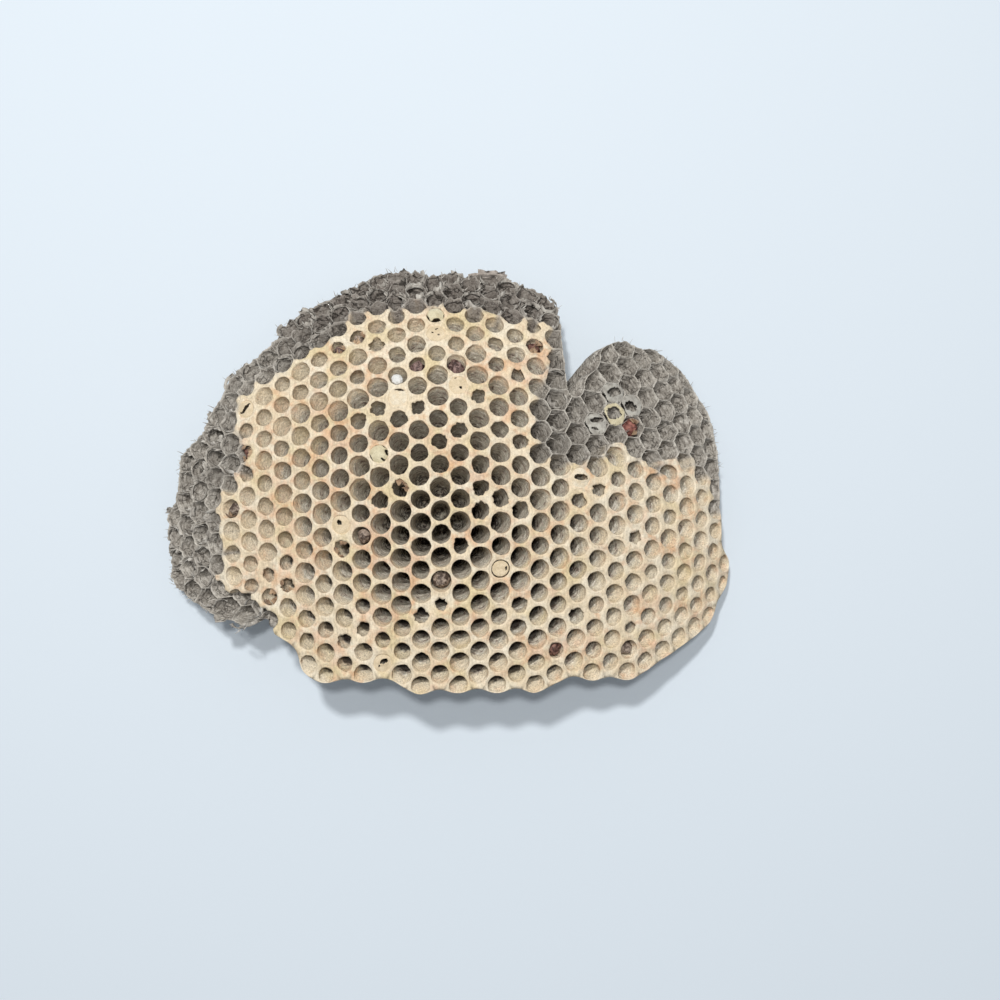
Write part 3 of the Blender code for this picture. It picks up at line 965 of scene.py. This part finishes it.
def dried_pupa(number, brood, material):
    """A shrunken, ringed pupa with its head just below the mouth of its cell."""
    cell, radius, _ = brood
    bm = bmesh.new()
    bmesh.ops.create_uvsphere(bm, u_segments=28, v_segments=22, radius=MM)
    seed = Vector((cell[0] * 2.3, cell[1] * 4.1, 5))
    for vert in bm.verts:
        unit = vert.co / MM
        dent = 0.2 * noise.noise(unit * 1.6 + seed) + 0.12 * noise.noise(unit * 4 + seed)
        rings = 0.06 * math.sin(unit.z * 16)
        swell = radius * (1 + dent + rings)
        level = unit.z * radius * PUPA_LENGTH * (1 + dent) - radius * PUPA_LENGTH - PUPA_DROP
        vert.co = Vector((unit.x * swell, unit.y * swell, level)) * MM
    bmesh.ops.transform(bm, matrix=cell_frame(cell), verts=bm.verts)
    new_piece(f"dried_pupa_{number:02d}", bm, material, f"dried_brood_{number:02d}")


def silk_ball(material):
    """A loose ball of white silk in an open mouth."""
    bm = bmesh.new()
    bmesh.ops.create_icosphere(bm, subdivisions=4, radius=BALL_RADIUS)
    for vert in bm.verts:
        fluff = 0.14 * noise.noise(vert.co / (0.8 * MM)) + 0.08 * noise.noise(vert.co / (0.3 * MM))
        vert.co *= 1 + fluff
    bmesh.ops.scale(bm, verts=bm.verts, vec=(1, 0.9, 0.8))
    bmesh.ops.translate(bm, verts=bm.verts, vec=BALL_PLACE)
    bmesh.ops.transform(bm, matrix=cell_frame(BALL_CELL), verts=bm.verts)
    new_piece("loose_ball", bm, material, "silk_ball")


def bare_cells():
    """The places of the gray margins' cells, those on the comb's outline among them."""
    edge = depth_inside(on_dome(spread(CELL_PLACES))[:, :2], SILK_OUTLINE)
    return [place for place, inside in zip(CELL_PLACES, edge) if inside < -1 * MM]


def bend_bmesh(bm):
    for vert, place in zip(bm.verts, bend(np.array([vert.co for vert in bm.verts]))):
        vert.co = place


def frayed_fibres(material):
    """Loose paper fibres that stand out of the torn rims of the gray margins."""
    draw = random.Random(21)
    bm = bmesh.new()
    cells = bare_cells()
    for _ in range(FRAYS):
        x, y = draw.choice(cells)
        angle = draw.uniform(0, 2 * math.pi)
        rim = Vector((x + FRAY_REACH * math.cos(angle), y + FRAY_REACH * math.sin(angle), -FRAY_ROOT))
        length = draw.uniform(*FRAY_LENGTHS) * MM
        lean = Matrix.Rotation(draw.uniform(-FRAY_LEAN, FRAY_LEAN), 4, "X")
        lean = lean @ Matrix.Rotation(draw.uniform(-FRAY_LEAN, FRAY_LEAN), 4, "Y")
        place = Matrix.Translation(rim) @ lean @ Matrix.Translation((0, 0, length / 2))
        thick = draw.uniform(*FRAY_RADII) * MM
        bmesh.ops.create_cone(
            bm, cap_ends=True, segments=3, radius1=thick, radius2=thick * 0.3, depth=length, matrix=place
        )
    bend_bmesh(bm)
    new_piece("frayed_fibres", bm, material, smooth=False)


def flake(bm, draw, middle, radius, wide, tall, curl, level, angle):
    """Adds one ragged curved flake that stands along a mouth's rim, in millimetres on the flat comb."""
    made = bmesh.ops.create_grid(bm, x_segments=6, y_segments=3, size=0.5)["verts"]
    faces = list(dict.fromkeys(face for vert in made for face in vert.link_faces))
    solid = bmesh.ops.extrude_face_region(bm, geom=faces, use_keep_orig=True)["geom"]
    outer = [item for item in solid if isinstance(item, bmesh.types.BMVert)]
    bmesh.ops.translate(bm, verts=outer, vec=(0, 0, 1))
    seed = Vector((draw.uniform(0, 90), draw.uniform(0, 90), angle))
    for vert in made + outer:
        u, v, outside = vert.co
        ragged = 1 + 0.9 * noise.noise(Vector((u * 4, v * 3, 0)) + seed)
        swing = u * wide / radius
        out = radius + curl * (v + 0.5) * ragged + FLAKE_THICKNESS * outside
        rise = level + (v + 0.5) * tall * ragged
        vert.co = Vector((out * math.sin(swing), out * math.cos(swing), rise)) * MM
    place = Matrix.Translation((*middle, 0)) @ Matrix.Rotation(angle, 4, "Z")
    bmesh.ops.transform(bm, matrix=place, verts=made + outer)


def torn_scales(material):
    """Flakes of torn wall that overlap on the gray margins."""
    draw = random.Random(5)
    bm = bmesh.new()
    margins = [place for place in bare_cells() if place[0] < LOBE_START]
    for _ in range(SCALES):
        wide, tall, curl = draw.uniform(2.5, 6.5), draw.uniform(0.5, 1.3), draw.uniform(-1.0, 0.6)
        angle = draw.uniform(0, 2 * math.pi)
        middle, radius = draw.choice(margins), draw.uniform(2.8, 3.6)
        flake(bm, draw, middle, radius, wide, tall, curl, SCALE_LEVEL, angle)
    bend_bmesh(bm)
    new_piece("torn_scales", bm, material)


def silk_tatters(material):
    """Shreds of torn lining in a few mouths."""
    draw = random.Random(11)
    bm = bmesh.new()
    for cell in TATTERED:
        for _ in range(draw.randint(3, 5)):
            wide, tall, curl = draw.uniform(1.5, 3.5), draw.uniform(0.4, 1.0), draw.uniform(-2.0, -0.6)
            angle = draw.uniform(0, 2 * math.pi)
            radius = draw.uniform(2.4, 3.1)
            flake(bm, draw, lattice_point(*cell), radius, wide, tall, curl, TATTER_LEVEL, angle)
    bend_bmesh(bm)
    new_piece("silk_tatters", bm, material)


def edge_strip(material):
    """A pale strip of loose paper along the top edge."""
    draw = random.Random(3)
    bm = bmesh.new()
    away = on_dome(spread(CELL_PLACES))[:, :2] - STRIP_PLACE
    x, y = CELL_PLACES[np.hypot(*away.T).argmin()]
    for wide, level, turn in STRIP_LAYERS:
        flake(bm, draw, (x, y - STRIP_BACK), STRIP_RADIUS, wide, 1.3, 0.7, level, turn)
    bend_bmesh(bm)
    new_piece("edge_strip", bm, material)


def small_pieces():
    """The caps, the dried brood, the loose ball, and the fibres, flakes and shreds."""
    silks = {kind: silk_paint(*recipe) for kind, recipe in SILKS.items()}
    skins = {kind: brood_paint(*recipe) for kind, recipe in SKINS.items()}
    for number, cap in enumerate(CAPS, 1):
        silk_lid(number, cap, silks[cap[4]])
    for number, brood in enumerate(BROOD, 1):
        dried_pupa(number, brood, skins[brood[2]])
    silk_ball(silk_paint(*BALL_SILK))
    gray = gray_paint()
    frayed_fibres(gray)
    torn_scales(gray)
    edge_strip(silk_paint(*STRIP_SILK))
    silk_tatters(silk_paint(*BROWN_SILK))


def add_camera():
    data = bpy.data.cameras.new("camera")
    data.lens = CAMERA_LENS
    data.sensor_width = CAMERA_SENSOR
    camera = bpy.data.objects.new("camera", data)
    camera.location = CAMERA_PLACE
    bpy.context.scene.collection.objects.link(camera)
    bpy.context.scene.camera = camera


def add_light(name, towards, power):
    data = bpy.data.lights.new(name, "AREA")
    data.shape = "DISK"
    data.size = LIGHT_SIZE
    data.energy = power
    data.color = LIGHT_COLOUR
    lamp = bpy.data.objects.new(name, data)
    direction = Vector(towards).normalized()
    lamp.location = direction * LIGHT_DISTANCE
    lamp.rotation_euler = direction.to_track_quat("Z", "Y").to_euler()
    bpy.context.scene.collection.objects.link(lamp)


def add_floor():
    bm = bmesh.new()
    bmesh.ops.create_grid(bm, x_segments=1, y_segments=1, size=FLOOR_SIZE)
    mesh = bpy.data.meshes.new("floor")
    bm.to_mesh(mesh)
    bm.free()
    floor = bpy.data.objects.new("floor", mesh)
    floor.location.z = CAD_LOW[2] - FLOOR_GAP
    mesh.materials.append(Paint("pale_floor", 0.8).finish(FLOOR_BLUE))
    bpy.context.scene.collection.objects.link(floor)


def add_room():
    """Pale even light from all round, and the plain view transform."""
    world = bpy.data.worlds.new("pale_room")
    world.use_nodes = True
    background = world.node_tree.nodes["Background"]
    background.inputs["Color"].default_value = ROOM_COLOUR
    background.inputs["Strength"].default_value = ROOM_STRENGTH
    bpy.context.scene.world = world
    bpy.context.scene.view_settings.view_transform = "Standard"


def build():
    add_camera()
    add_floor()
    add_room()
    for light in LIGHTS:
        add_light(*light)
    comb_piece(CombPaint().paper())
    small_pieces()


build()
